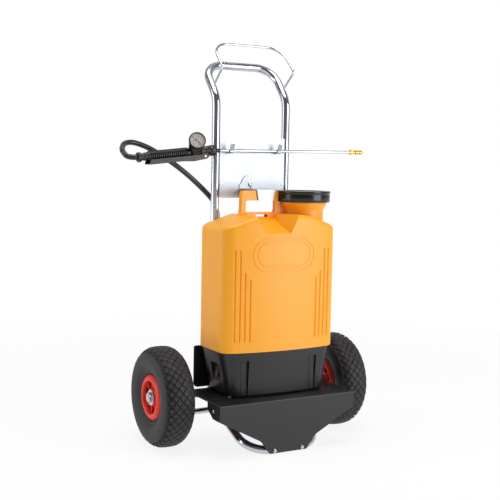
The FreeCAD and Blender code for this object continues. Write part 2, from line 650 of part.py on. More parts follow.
def tank():
    body = tank_form(0).cut([pocket(0), rear_trough(0)])
    body = body.fuse([carry_handle()] + emblem_rim())
    body = body.fuse(turned([(0, 560, 0), (54, 560, 0), (54, 614, 5), (63, 630, 3),
                             (63, NECK_TOP, 1.5), (0, NECK_TOP, 0)], (NECK_X, NECK_Y, 0)))
    body = body.cut([flute(FLUTE_X + s * x, high) for x, high in FLUTES for s in (-1, 1)])
    cavity = tank_form(TANK_WALL).cut([pocket(TANK_WALL), rear_trough(TANK_WALL)])
    throat = turned([(0, 560, 0), (49.5, 560, 0), (49.5, 620, 5), (57.5, 636, 3),
                     (57.5, NECK_TOP + 1, 0), (0, NECK_TOP + 1, 0)], (NECK_X, NECK_Y, 0))
    slit = block(CARRY_X - 17.5, CARRY_X + 17.5, CARRY_Y - 12, CARRY_Y + 12, 595, 601.5)
    return body.cut([cavity, throat, slit])


keep("tank", tank())

# Strainer, gasket and screw cap, stacked on the neck's rim.
RIM_REST = NECK_TOP + RUN
GASKET_LOW = RIM_REST + 2.0 + RUN
CAP_UNDER = GASKET_LOW + 2.0 + RUN


def strainer():
    """A moulded basket with tall windows, hung from the neck by its rim."""
    low = 588.0
    cup = turned([(0, low, 0), (46.5, low, 3), (47, RIM_REST, 0), (61, RIM_REST, 0),
                  (61, RIM_REST + 2, 0.6), (45, RIM_REST + 2, 0), (44.5, low + 2.2, 2), (0, low + 2.2, 0)])
    windows = []
    for k in range(12):
        window = prism([(-8, 598, 2), (8, 598, 2), (8, 642, 2), (-8, 642, 2)], "y", 38, 52)
        window.rotate(ORIGIN, Z, k * 30)
        windows.append(window)
    floor_holes = []
    for k in range(6):
        hole = rod(9, (26, 0, low - 2), (26, 0, low + 5))
        hole.rotate(ORIGIN, Z, k * 60)
        floor_holes.append(hole)
    return placed(cup.cut(windows + floor_holes), (NECK_X, NECK_Y, 0), (0, 0, 1))


def filler_cap():
    """Screw lid with a wider top rim, a sunk top and grip ribs round its skirt."""
    lid = turned([(0, CAP_UNDER, 0), (64.2, CAP_UNDER, 1), (64.2, CAP_LOW, 0), (CAP_R - 2.2, CAP_LOW, 1.0),
                  (CAP_R - 2.2, 655, 0.5), (CAP_R, 656.5, 0.5), (CAP_R, CAP_TOP, 1.2), (60, CAP_TOP, 0.8),
                  (58, CAP_TOP - 1.6, 0.8), (0, CAP_TOP - 1.6, 0)])
    ribs = []
    for k in range(16):
        rib = rod(2.4, (CAP_R - 3.4, 0, CAP_LOW + 1), (CAP_R - 3.4, 0, 656))
        rib.rotate(ORIGIN, Z, k * 22.5)
        ribs.append(rib)
    return placed(lid.fuse(ribs), (NECK_X, NECK_Y, 0), (0, 0, 1))


keep("strainer_basket", strainer())
keep("cap_gasket", turned([(50, GASKET_LOW, 0), (62, GASKET_LOW, 0.5), (62, GASKET_LOW + 2, 0.5),
                           (50, GASKET_LOW + 2, 0)], (NECK_X, NECK_Y, 0)))
keep("filler_cap", filler_cap())

# ---------------------------------------------------------------- base housing and what it holds
GROOVE_X = 101.0
BASE_TOP_FRONT = TANK_FRONT + 2.3
BASE_LOW_FRONT = -114.0
RECESS_Y = -40.0
RECESS_Z = 198.0


def base_form(inset):
    top = bowed_plan(TANK_LOW_HALF - 2, BASE_TOP_FRONT, TANK_REAR, 40, 26, inset, TANK_LOW)
    low = bowed_plan(BASE_BOTTOM_HALF, BASE_LOW_FRONT, 30, 30, 22, inset, BASE_LOW + inset)
    body = Part.makeLoft([low, top], True, True)
    foot = [edge for edge in body.Edges if edge.BoundBox.ZMax < BASE_LOW + inset + 0.1]
    return body.makeFillet(8.0 - inset, foot)


def front_strip(side, top, foot, depth):
    """An upright strip through the base's front, between two offsets from its line at each end."""
    line = TANK_X + side * GROOVE_X
    slope = (BASE_TOP_FRONT - BASE_LOW_FRONT) / (TANK_LOW - BASE_LOW)
    bow = front_y(line) - TANK_FRONT

    def section(z, span):
        y = BASE_LOW_FRONT + bow + slope * (z - BASE_LOW) + depth
        low_x, high_x = line + span[0], line + span[1]
        return Part.makePolygon([Vector(low_x, y, z), Vector(high_x, y, z), Vector(high_x, -140, z),
                                 Vector(low_x, -140, z), Vector(low_x, y, z)])
    return Part.makeLoft([section(143, foot), section(236, top)], True, True)


def side_recess(depth, half_y, half_z):
    side_x = TANK_X - 151
    outline = [(RECESS_Y - half_y, RECESS_Z - half_z, 5), (RECESS_Y + half_y, RECESS_Z - half_z, 5),
               (RECESS_Y + half_y, RECESS_Z + half_z, 5), (RECESS_Y - half_y, RECESS_Z + half_z, 5)]
    return prism(outline, "x", side_x - 30, side_x + depth)


BEZEL_X = TANK_X - 151 + 4.0                # floor of the recess
ROCKER_PIVOT = (BEZEL_X + 5.0, RECESS_Y, RECESS_Z)


def base_housing():
    shell = base_form(0).cut(base_form(3.0))
    for side in (-1, 1):
        wall = base_form(0).common(front_strip(side, (-19, 9), (-16, 9), 9))
        rib = base_form(-1.0).common(front_strip(side, (-17.6, -4.6), (-13.2, -0.9), 3))
        shell = shell.fuse([wall, rib]).cut(front_strip(side, (-4.4, 5.6), (2.7, 5.1), 6))
    pan = base_form(0).common(side_recess(9, 25, 29))
    shell = shell.fuse(pan).cut(side_recess(4, 22, 26))
    window = block(BEZEL_X - 5, BEZEL_X + 20, RECESS_Y - 7.4, RECESS_Y + 7.4,
                   RECESS_Z - 12.4, RECESS_Z + 12.4)
    outlet = rod(11, (OUTLET_X, 20, OUTLET_Z), (OUTLET_X, 50, OUTLET_Z))
    return shell.cut([window, outlet])


keep("base_housing", base_housing())


def switch_bezel():
    """The switch's frame, pushed into the housing from outside, with the rocker's pivot pins."""
    flange = block(BEZEL_X - 1.5, BEZEL_X, RECESS_Y - 9, RECESS_Y + 9, RECESS_Z - 14, RECESS_Z + 14)
    box = block(BEZEL_X, BEZEL_X + 14, RECESS_Y - 7.4, RECESS_Y + 7.4, RECESS_Z - 12.4, RECESS_Z + 12.4)
    hollow = block(BEZEL_X - 5, BEZEL_X + 12, RECESS_Y - 6, RECESS_Y + 6, RECESS_Z - 11, RECESS_Z + 11)
    x, y, z = ROCKER_PIVOT
    pin = rod(1.2, (x, y - 7, z), (x, y + 7, z))
    return flange.fuse(box).cut(hollow).fuse(pin)


def rocker():
    """The rocker, its outer face a shallow V, resting with one end pressed in."""
    x, y, z = ROCKER_PIVOT
    body = prism([(x - 9.5, z - 10, 1), (x - 6.5, z, 0), (x - 8.0, z + 10, 1), (x + 1, z + 8, 1),
                  (x + 3.5, z + 2.5, 2), (x + 3.5, z - 2.5, 2), (x + 1, z - 8, 1)], "y", y - 5.6, y + 5.6)
    body = body.cut(rod(1.25, (x, y - 10, z), (x, y + 10, z)))
    body.rotate(Vector(x, y, z), Y, 6)
    return body


keep("switch_bezel", switch_bezel())
keep("rocker_switch", rocker())

# Battery, motor and piston pump stand on the floor of the base.
FLOOR_Z = BASE_LOW + 3.0
PUMP_X = 45.0
SHAFT_Y, SHAFT_Z = -35.0, 190.0
battery = prism(rectangle(-112, -18, -80, 15, 3, 3), "z", FLOOR_Z, FLOOR_Z + 90)
posts = [rod(4, (-90 + 50 * k, -60, FLOOR_Z + 90), (-90 + 50 * k, -60, FLOOR_Z + 97)) for k in (0, 1)]
keep("battery", battery.fuse(posts))
motor_case = turned([(4.05, 0, 0), (22, 0, 3), (22, 62, 3), (4.05, 62, 0)],
                    (PUMP_X + 26, SHAFT_Y, SHAFT_Z), (1, 0, 0))
motor_foot = block(PUMP_X + 34, PUMP_X + 80, SHAFT_Y - 14, SHAFT_Y + 14, FLOOR_Z, SHAFT_Z - 20)
keep("pump_motor", motor_case.fuse(motor_foot).cut(
    rod(4.05, (PUMP_X + 20, SHAFT_Y, SHAFT_Z), (PUMP_X + 100, SHAFT_Y, SHAFT_Z))))
shaft = rod(4, (PUMP_X + 4, SHAFT_Y, SHAFT_Z), (PUMP_X + 84, SHAFT_Y, SHAFT_Z))
eccentric = rod(8, (PUMP_X + 8, SHAFT_Y, SHAFT_Z + 3), (PUMP_X + 16, SHAFT_Y, SHAFT_Z + 3))
keep("motor_shaft", shaft.fuse(eccentric).removeSplitter())
pump = block(PUMP_X, PUMP_X + 25.7, SHAFT_Y - 22, SHAFT_Y + 22, FLOOR_Z, SHAFT_Z + 20)
pump = pump.fuse([rod(13, (PUMP_X + 12, SHAFT_Y, SHAFT_Z), (PUMP_X + 12, SHAFT_Y, SHAFT_Z + 46)),
                  rod(6, (PUMP_X + 12, SHAFT_Y, SHAFT_Z + 30), (PUMP_X + 12, SHAFT_Y + 22, SHAFT_Z + 30))])
pump = pump.cut([rod(12.5, (PUMP_X + 2, SHAFT_Y, SHAFT_Z), (PUMP_X + 20, SHAFT_Y, SHAFT_Z)),
                 rod(4.05, (PUMP_X + 1, SHAFT_Y, SHAFT_Z), (PUMP_X + 40, SHAFT_Y, SHAFT_Z))])
keep("pump_body", pump)
delivery = [(PUMP_X + 12, SHAFT_Y + 22, SHAFT_Z + 30), (PUMP_X + 12, -2, SHAFT_Z + 30),
            (OUTLET_X, 8, OUTLET_Z), (OUTLET_X, 22, OUTLET_Z)]
keep("delivery_pipe", swept(delivery, [0, 9, 6, 0], 4.5))

# ---------------------------------------------------------------- hose outlet on the base
ELBOW_Y = 90.0
ELBOW_LOW = OUTLET_Z - 26.0
elbow_route = [(OUTLET_X, 22, OUTLET_Z), (OUTLET_X, ELBOW_Y, OUTLET_Z), (OUTLET_X, ELBOW_Y, ELBOW_LOW)]
elbow = bent_tube(elbow_route, [0, 11, 0], 7.5, 4.5)
flange_nut = hexagon(26, (OUTLET_X, TANK_REAR, OUTLET_Z), (OUTLET_X, TANK_REAR + 8, OUTLET_Z))
elbow = elbow.fuse(flange_nut).fuse(rod(10.9, (OUTLET_X, 26, OUTLET_Z), (OUTLET_X, 38, OUTLET_Z)))
keep("outlet_elbow", elbow.cut(rod(4.5, (OUTLET_X, 20, OUTLET_Z), (OUTLET_X, 70, OUTLET_Z))))
keep("outlet_nut", turned([(7.5, 0, 0), (12, 0, 1), (12, -18, 1), (HOSE_R + 2.5, -22, 1), (HOSE_R, -22, 0),
                           (HOSE_R, -4, 0), (7.5, -4, 0)],
                          (OUTLET_X, ELBOW_Y, ELBOW_LOW + 4), (0, 0, 1)))

# ---------------------------------------------------------------- lance
# The grip group is built along -X from its front end, then tilted down towards the hose.
GRIP_FRONT = Vector(GRIP_X, LANCE_Y, LANCE_Z)


def tilted(shape):
    shape = shape.copy()
    shape.rotate(GRIP_FRONT, Y, -GRIP_TILT)
    return shape


def along_grip(outline):
    """Turned about the grip's axis; heights run back from the grip's front end."""
    return tilted(turned(outline, GRIP_FRONT, (-1, 0, 0)))


GRIP_R = 11.5
RIB_R = 13.5
GRIP_RIBS = 21
RIB_START, RIB_END = 62.0, 172.0
FLAT = -9.5
PIVOT = (18.0, -13.0)                       # back from the front end, below the axis
TRIGGER_IN, TRIGGER_OUT = 14.0, 16.0


def beside_grip(outline, half):
    """An outline of (distance back, height over the axis, corner radius) pulled across the grip."""
    flat = [(GRIP_X - back, LANCE_Z + up, r) for back, up, r in outline]
    return prism(flat, "y", LANCE_Y - half, LANCE_Y + half)


def across_grip(radius, back, up, half):
    x, z = GRIP_X - back, LANCE_Z + up
    return rod(radius, (x, LANCE_Y - half, z), (x, LANCE_Y + half, z))


def lance_handle():
    """A ribbed grip with a flat underneath, a collar in front and a lug for the trigger's pin."""
    pitch = (RIB_END - RIB_START) / GRIP_RIBS
    outline = [(0, 0, 0), (12.5, 0, 1), (12.5, 3.5, 0.5), (11.5, 4.2, 0.3), (11.5, 6.0, 0.3),
               (12.5, 6.7, 0.5), (12.5, 10, 1), (GRIP_R, 14, 3), (GRIP_R, RIB_START, 0)]
    for k in range(GRIP_RIBS):
        start = RIB_START + k * pitch
        outline += [(RIB_R, start + 1.0, 0), (RIB_R, start + 3.2, 0), (GRIP_R, start + 4.2, 0)]
    outline += [(GRIP_R, RIB_END + 2.5, 1), (0, RIB_END + 2.5, 0)]
    body = turned(outline, GRIP_FRONT, (-1, 0, 0))
    lug = beside_grip([(10, -5, 0), (26, -5, 0), (25, -16.5, 3), (12, -16.5, 3)], TRIGGER_IN - RUN)
    flat = beside_grip([(30, FLAT, 0), (RIB_END + 5, FLAT, 0), (RIB_END + 5, -40, 0), (30, -40, 0)], 30)
    bore = rod(LANCE_R, (GRIP_X + 1, LANCE_Y, LANCE_Z), (GRIP_X - RIB_END - 5, LANCE_Y, LANCE_Z))
    return tilted(body.fuse(lug).cut([flat, bore, across_grip(2.0, *PIVOT, 30)]))


def trigger():
    """A channel that straddles the grip from below, hinged on a pin at its front end."""
    under = [(4.5, -14.0, 4), (15, -20.0, 12), (53, -23.2, 40), (84, -20.4, 40), (176, -20.4, 2)]
    outside = under + [(170, -8, 1), (10, -8, 3)]
    inside = [(back, up + 2, r) for back, up, r in under[1:-1]] + [(180, -18.4, 0), (180, 0, 0), (2, 0, 0),
                                                                  (2, -11.8, 0)]
    channel = beside_grip(outside, TRIGGER_OUT).cut(beside_grip(inside, TRIGGER_IN))
    return tilted(channel.cut(across_grip(2.05, *PIVOT, 30)))


keep("lance_handle", lance_handle())
keep("trigger", trigger())
keep("trigger_pin", tilted(across_grip(2.0, *PIVOT, TRIGGER_OUT + 0.5)))
TAIL_START = RIB_END + 2.5
keep("hose_tail", along_grip([(0, TAIL_START, 0), (10.5, TAIL_START, 1), (10.5, TAIL_START + 7, 1),
                              (9.5, TAIL_START + 9, 1), (9.5, GRIP_LENGTH - 11, 1),
                              (12.5, GRIP_LENGTH - 9, 1), (12.5, GRIP_LENGTH - 1.5, 1.5),
                              (11, GRIP_LENGTH, 0.5), (HOSE_R, GRIP_LENGTH, 0),
                              (HOSE_R, TAIL_START + 8, 0), (0, TAIL_START + 8, 0)]))

# Union nut, tube, and brass nozzle on the lance's axis
NOZZLE_START = LANCE_END - 44.0


def along_lance(outline, x):
    return turned(outline, (x, LANCE_Y, LANCE_Z), (1, 0, 0))


def raised(shape):
    """Turned up about the grip's front end, as the lance lies in its hooks."""
    shape = shape.copy()
    shape.rotate(GRIP_FRONT, Y, -LANCE_TILT)
    return shape


def lance_nut():
    """A rounded union nut with finger notches, and its slim collar."""
    body = along_lance([(LANCE_R, 0, 0), (13.0, 0, 2), (14.25, 6, 5), (14.25, 15, 6), (10.0, 22, 3),
                        (5.65, 22, 0.5), (5.65, 33, 1.5), (LANCE_R, 33, 0)], GRIP_X)
    notch = rod(2.0, (GRIP_X - 1, LANCE_Y, LANCE_Z + 15.2), (GRIP_X + 20, LANCE_Y, LANCE_Z + 15.2))
    notches = []
    for k in range(10):
        turned_notch = notch.copy()
        turned_notch.rotate(GRIP_FRONT, X, k * 36)
        notches.append(turned_notch)
    return largest(raised(body.cut(notches)).cut(pieces["lance_handle"]))


keep("lance_nut", lance_nut())
keep("lance_tube", raised(ring(LANCE_R, 2.6, (GRIP_X + 2, LANCE_Y, LANCE_Z),
                               (NOZZLE_START, LANCE_Y, LANCE_Z))))
HOLDER = 20.0
holder = along_lance([(2.6, 0, 0), (5.2, 0, 0.8), (5.2, HOLDER - 2, 0.5), (4.0, HOLDER, 0),
                      (4.0, HOLDER + 11, 0.5), (1.5, HOLDER + 11, 0), (1.5, 0, 0)], NOZZLE_START)
hex_band = hexagon(11.5, (NOZZLE_START + 3, LANCE_Y, LANCE_Z), (NOZZLE_START + 10, LANCE_Y, LANCE_Z))
way_through = rod(1.5, (NOZZLE_START - 1, LANCE_Y, LANCE_Z), (LANCE_END, LANCE_Y, LANCE_Z))
keep("nozzle_holder", raised(holder.fuse(hex_band).cut(way_through)))
TIP_START = NOZZLE_START + HOLDER + 0.3
TIP_LENGTH = LANCE_END - TIP_START
nozzle_tip = along_lance([(4.06, 0, 0), (6.0, 0, 0.8), (6.0, 4, 0.6), (5.2, 5, 0.4), (5.2, 12, 0.4),
                          (6.0, 13, 0.6), (6.0, 19, 1), (4.2, TIP_LENGTH, 1), (0.8, TIP_LENGTH, 0),
                          (0.8, 12, 0), (4.06, 12, 0)], TIP_START)
keep("nozzle_tip", raised(nozzle_tip))

# Pressure gauge on the handle
GAUGE_R = 22.0
GLASS_R = GAUGE_R - 2.6
GAUGE_FACE = Vector(-187.0, 6.0, 789.0)
GAUGE_FOOT = Vector(-178.5, LANCE_Y - 4, 762.0)
gauge_turn, gauge_rise = math.radians(15), math.radians(17)
GAUGE_AXIS = Vector(-math.sin(gauge_turn) * math.cos(gauge_rise),
                    -math.cos(gauge_turn) * math.cos(gauge_rise), math.sin(gauge_rise))


def at_gauge(outline):
    """Turned about the gauge's axis; heights run forwards from its face."""
    return turned(outline, GAUGE_FACE, GAUGE_AXIS)


def disc(radius, low, high):
    return at_gauge([(0, low, 0), (radius, low, 0), (radius, high, 0), (0, high, 0)])


def gauge_case():
    """A round cup whose back flows down into a broad foot on the grip."""
    cup = at_gauge([(0, -12, 0), (GAUGE_R - 1.5, -12, 0), (GAUGE_R - 1.5, -7, 0.5), (GAUGE_R, -6, 0.5),
                    (GAUGE_R, 0, 1.2), (GLASS_R, 0, 0.4), (GLASS_R, -5.5, 0), (0, -5.5, 0)])
    back = GAUGE_FACE - GAUGE_AXIS * 12
    way = GAUGE_FOOT - back
    rims = [Part.Wire(Part.Circle(back, GAUGE_AXIS, GAUGE_R - 1.5).toShape()),
            Part.Wire(Part.Circle(GAUGE_FOOT, way * -1, 17.5).toShape())]
    foot = Part.makeLoft(rims, True, True)
    squeeze = beside_grip([(0, -7.6, 0), (20, -7.6, 0), (180, -0.6, 0), (180, -30, 0), (0, -30, 0)],
                          TRIGGER_OUT + RUN)
    return largest(cup.fuse(foot).cut([pieces["lance_handle"], tilted(squeeze)]))


keep("gauge_case", gauge_case())
keep("gauge_dial", disc(GLASS_R, -5.5, -4.7).fuse(disc(0.9, -4.7, -2.9)))
keep("gauge_lens", disc(GLASS_R, -1.8, -0.6))


NEEDLE_REST = 208.0


def needle():
    """The pointer on its hub, built about +Z and laid on the gauge's axis."""
    hand = prism([(-1.5, -6.5, 0.5), (1.5, -6.5, 0.5), (1.3, 2, 2), (0.4, 14.5, 0.3), (-0.4, 14.5, 0.3),
                  (-1.3, 2, 2)], "z", -3.9, -3.3)
    hub = turned([(0.95, -4.3, 0), (2.2, -4.3, 0), (2.2, -3.0, 0.3), (0.95, -3.0, 0)])
    hand = hand.fuse(hub).cut(rod(0.95, (0, 0, -6), (0, 0, 0)))
    hand.rotate(ORIGIN, Z, NEEDLE_REST)
    return placed(hand, GAUGE_FACE, GAUGE_AXIS)


keep("gauge_needle", needle())

# ---------------------------------------------------------------- hose
tail = Vector(-1, 0, 0)
tail = Rotation(Y, -GRIP_TILT).multVec(tail)
hose_end = GRIP_FRONT + tail * (TAIL_START + 8)
HOSE_ROUTE = [
    (OUTLET_X, ELBOW_Y, ELBOW_LOW), (OUTLET_X, ELBOW_Y, 172), (38, 95, 128), (-18, 99, 106),
    (-70, 99, 128), (-90, 97, 190), (-92, 95, 300), (-86, 94, 420), (-84, 93, 530), (-80, 93, 616),
    (-117, 94, 656), (-186, 98, 714), (-263, 104, 762), (-316, 108, 782), (-348, 99, 779),
    (-363, 78, 765), (-370, 54, 755), tuple(GRIP_FRONT + tail * (GRIP_LENGTH + 22)), tuple(hose_end)]


def cord_radii(points):
    """Each arc as large as its two runs allow: 0.45 of the shorter run over the half turn's tangent."""
    points = [Vector(*point) for point in points]
    radii = [0.0]
    for before, here, after in zip(points, points[1:], points[2:]):
        turn = (here - before).getAngle(after - here)
        radii.append(0.45 * min((here - before).Length, (after - here).Length) / math.tan(turn / 2))
    return radii + [0.0]


hose_radii = cord_radii(HOSE_ROUTE)
hose = swept(HOSE_ROUTE, hose_radii, HOSE_R)
keep("hose", hose)
hose_length = rounded_wire(HOSE_ROUTE, hose_radii, False).Length
print("hose radii", [round(r) for r in hose_radii[1:-1]])
volume_ratio = hose.Volume / (math.pi * HOSE_R ** 2 * hose_length)
print("hose length", round(hose_length), "volume ratio", round(volume_ratio, 4))

# ---------------------------------------------------------------- export
for name, shape in pieces.items():
    if not shape.isValid():
        print("not valid:", name)
    shape.exportStep("parts/" + name + ".step")
print(len(pieces), "nodes")
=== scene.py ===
import math

import bmesh
import bpy
from mathutils import Matrix, Vector


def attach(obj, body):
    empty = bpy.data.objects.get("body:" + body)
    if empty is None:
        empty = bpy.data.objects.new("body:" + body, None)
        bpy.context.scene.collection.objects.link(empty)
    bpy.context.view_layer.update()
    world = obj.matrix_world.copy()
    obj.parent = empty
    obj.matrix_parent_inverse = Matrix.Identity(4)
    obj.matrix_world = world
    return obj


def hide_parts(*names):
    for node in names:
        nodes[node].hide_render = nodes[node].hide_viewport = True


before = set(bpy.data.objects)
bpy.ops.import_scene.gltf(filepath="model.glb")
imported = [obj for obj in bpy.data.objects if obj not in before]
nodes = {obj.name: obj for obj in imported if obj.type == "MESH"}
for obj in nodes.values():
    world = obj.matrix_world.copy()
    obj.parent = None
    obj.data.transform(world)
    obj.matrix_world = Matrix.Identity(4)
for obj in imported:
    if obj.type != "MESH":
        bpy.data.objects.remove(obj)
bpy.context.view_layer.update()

# ---------------------------------------------------------------- cart frame
# One steel tube bent into the cart's frame, handle and foot, with a wire hoop welded to
# it and a thinner tube across the heel: cut, bent and welded, then bright chromed.


def linear(code):
    """A colour written as an sRGB hex value, turned to linear light."""
    parts = [int(code[i:i + 2], 16) / 255 for i in (1, 3, 5)]
    return [p / 12.92 if p <= 0.04045 else ((p + 0.055) / 1.055) ** 2.4 for p in parts] + [1.0]


def add(tree, kind, inputs, into=None, **settings):
    """Adds a shader node; an input is a value, a socket or a node, and into takes its output."""
    made = tree.nodes.new("ShaderNode" + kind)
    for name, value in settings.items():
        setattr(made, name, value)
    for name, value in inputs.items():
        if isinstance(value, bpy.types.Node):
            tree.links.new(value.outputs[0], made.inputs[name])
        elif isinstance(value, bpy.types.NodeSocket):
            tree.links.new(value, made.inputs[name])
        else:
            made.inputs[name].default_value = value
    if into is not None:
        tree.links.new(made.outputs[0], into)
    return made


def finish(name, **values):
    """A new material, its tree, its shader with these values set, and where it is on the object."""
    made = bpy.data.materials.new(name)
    made.use_nodes = True
    tree = made.node_tree
    shader = tree.nodes["Principled BSDF"]
    for key, value in values.items():
        shader.inputs[key.replace("_", " ")].default_value = value
    return made, tree, shader, add(tree, "TexCoord", {}).outputs["Object"]


def dress(material, slot, *names):
    """Gives CAD nodes this material; the slot argument is not used."""
    for name in names:
        piece = nodes[name]
        piece.data.materials.clear()
        piece.data.materials.append(material)


# Bright chrome on drawn tube: a mirror that the draw lines and wiping haze only just soften.
chrome, tree, shader, place = finish("bright_chrome_plate", Metallic=1.0,
                                     Base_Color=linear("#C3C6CE"))
haze = add(tree, "TexNoise", {"Vector": place, "Scale": 1 / 0.030, "Detail": 3.0})
add(tree, "MapRange", {"Value": haze, "To Min": 0.12, "To Max": 0.20}, into=shader.inputs["Roughness"])
dress(chrome, "chrome_tube", "frame_tube", "wire_hoop", "lower_cross_tube")

# Moulded polypropylene plugs, dull and black, in the ends of the cross tube.
plug_plastic, tree, shader, place = finish("moulded_polypropylene", Roughness=0.5, IOR=1.49,
                                           Base_Color=linear("#1C1B1C"))
grain = add(tree, "TexNoise", {"Vector": place, "Scale": 1 / 0.0006, "Detail": 2.0})
add(tree, "Bump", {"Distance": 0.02e-3, "Height": grain}, into=shader.inputs["Normal"])
dress(plug_plastic, "black_plastic", "tube_plugs")

# ---------------------------------------------------------------- axle and fixings
# A plain steel axle through two brackets welded under the platform, with collars inside
# the wheels and nuts and washers outside; bolts and rivets are bright zinc-plated steel.

# Zinc plate on turned and headed steel: pale, with the tumbling marks of barrel plating.
plated, tree, shader, place = finish("bright_zinc_plate", Metallic=1.0,
                                     Base_Color=linear("#C2C2C8"))
marks = add(tree, "TexNoise", {"Vector": place, "Scale": 1 / 0.004, "Detail": 4.0})
add(tree, "MapRange", {"Value": marks, "To Min": 0.18, "To Max": 0.38}, into=shader.inputs["Roughness"])
add(tree, "Bump", {"Distance": 0.03e-3, "Height": marks}, into=shader.inputs["Normal"])
dress(plated, "zinc", "axle", "axle_collars", "axle_washers", "axle_nuts", "apron_bolts",
      "back_plate_bolts", "corner_rivets", "plate_rivets", "catch_screw")

# ---------------------------------------------------------------- platform and back plate
# Folded 2 mm steel sheet: the platform with its flange and tapering apron, the plate
# behind the tank and the axle brackets, all powder coated black after welding.

# Powder coat has a satin skin with a fine orange peel, about 1.5 mm from crest to crest.
powder, tree, shader, place = finish("satin_powder_coat", IOR=1.5, Base_Color=linear("#1E1C1D"))
peel = add(tree, "TexNoise", {"Vector": place, "Scale": 1 / 0.0015, "Detail": 2.0})
add(tree, "Bump", {"Distance": 0.02e-3, "Height": peel}, into=shader.inputs["Normal"])
wear = add(tree, "TexNoise", {"Vector": place, "Scale": 1 / 0.060, "Detail": 4.0})
add(tree, "MapRange", {"Value": wear, "To Min": 0.30, "To Max": 0.42}, into=shader.inputs["Roughness"])
dress(powder, "black_paint", "platform", "back_plate", "axle_brackets")

# ---------------------------------------------------------------- lance plate and catch
# A galvanised sheet riveted across the uprights, with two hooks pressed out of it for the
# lance, and the sliding catch, of the same sheet, that holds the tank by its handle.

# Rolled galvanised sheet: broad soft cloudiness and a rolling grain along its width.
galvanised, tree, shader, place = finish("galvanised_sheet", Metallic=1.0)
cloud = add(tree, "TexNoise", {"Vector": place, "Scale": 1 / 0.050, "Detail": 3.0})
tone = add(tree, "ValToRGB", {"Fac": cloud}, into=shader.inputs["Base Color"])
tone.color_ramp.elements[0].color = linear("#A9AFB8")
tone.color_ramp.elements[1].color = linear("#C4C9D0")
along = add(tree, "Mapping", {"Vector": place, "Scale": (0.05, 1.0, 1.0)})
rolled = add(tree, "TexNoise", {"Vector": along, "Scale": 1 / 0.0015, "Detail": 2.0})
add(tree, "MapRange", {"Value": rolled, "To Min": 0.42, "To Max": 0.55}, into=shader.inputs["Roughness"])
dress(galvanised, "zinc", "lance_plate", "tank_catch")

# ---------------------------------------------------------------- wheels
# Pneumatic tyres, 260 x 85 mm, on moulded plastic rims with eight ribs. The tread is cut
# into diamond blocks by crossed grooves that run out over the shoulders.
AXLE = Vector((0.0, 0.037, 0.130))
TRACK_HALF = 0.263
BLOCKS_ROUND = 36
GROOVE_DEPTH = 0.0048
GROOVE_HALF_WIDTH = 0.0012
GROOVE_WALL = 0.0006
# Half of the tyre's section, as radius and distance from its middle: bead, the sidewall with
# its rim guard, and the tread, whose points are half a block apart.
SIDEWALL = [(0.0580, 0.0270), (0.0595, 0.0292), (0.0618, 0.0304), (0.0630, 0.0328), (0.0650, 0.0336),
            (0.0668, 0.0330), (0.0685, 0.0342), (0.0720, 0.0370), (0.0780, 0.0398), (0.0850, 0.0417),
            (0.0920, 0.0425), (0.0990, 0.0425), (0.1050, 0.0416), (0.1105, 0.0400), (0.1145, 0.0385)]
TREAD = [(0.1175, 0.0368), (0.1248, 0.0284), (0.1286, 0.0199), (0.1297, 0.0100), (0.1300, 0.0)]
LINING = [(0.1180, 0.0), (0.1168, 0.0200), (0.1100, 0.0320), (0.1000, 0.0360), (0.0860, 0.0360),
          (0.0740, 0.0310), (0.0640, 0.0240), (0.0580, 0.0235)]


def into_object(mesh, name, material):
    """Turns a bmesh into an object of the scene with this material."""
    data = bpy.data.meshes.new(name)
    mesh.to_mesh(data)
    mesh.free()
    made = bpy.data.objects.new(name, data)
    bpy.context.scene.collection.objects.link(made)
    data.materials.append(material)
    return made


def smooth(mesh):
    """Turns every face outwards and shades it smooth."""
    bmesh.ops.recalc_face_normals(mesh, faces=mesh.faces)
    for face in mesh.faces:
        face.smooth = True


def turn_section(mesh, section, steps):
    """Spins a closed section, as radius and distance along the axle, once round the X axis."""
    chain = [mesh.verts.new((along, 0.0, radius)) for radius, along in section]
    edges = [mesh.edges.new(pair) for pair in zip(chain, chain[1:] + chain[:1])]
    bmesh.ops.spin(mesh, geom=chain + edges, cent=(0, 0, 0), axis=(1, 0, 0), angle=math.tau,
                   steps=steps, use_merge=True)
    bmesh.ops.remove_doubles(mesh, verts=mesh.verts, dist=1e-5)
    smooth(mesh)


def put_wheel_piece(mesh, side, name, material):
    """Moves a piece built about the X axis to its wheel, 1 for right and -1 for left."""
    bmesh.ops.translate(mesh, verts=mesh.verts, vec=AXLE + Vector((side * TRACK_HALF, 0, 0)))
    made = into_object(mesh, name + ("_left" if side < 0 else "_right"), material)
    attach(made, "wheel_left" if side < 0 else "wheel_right")
    return made


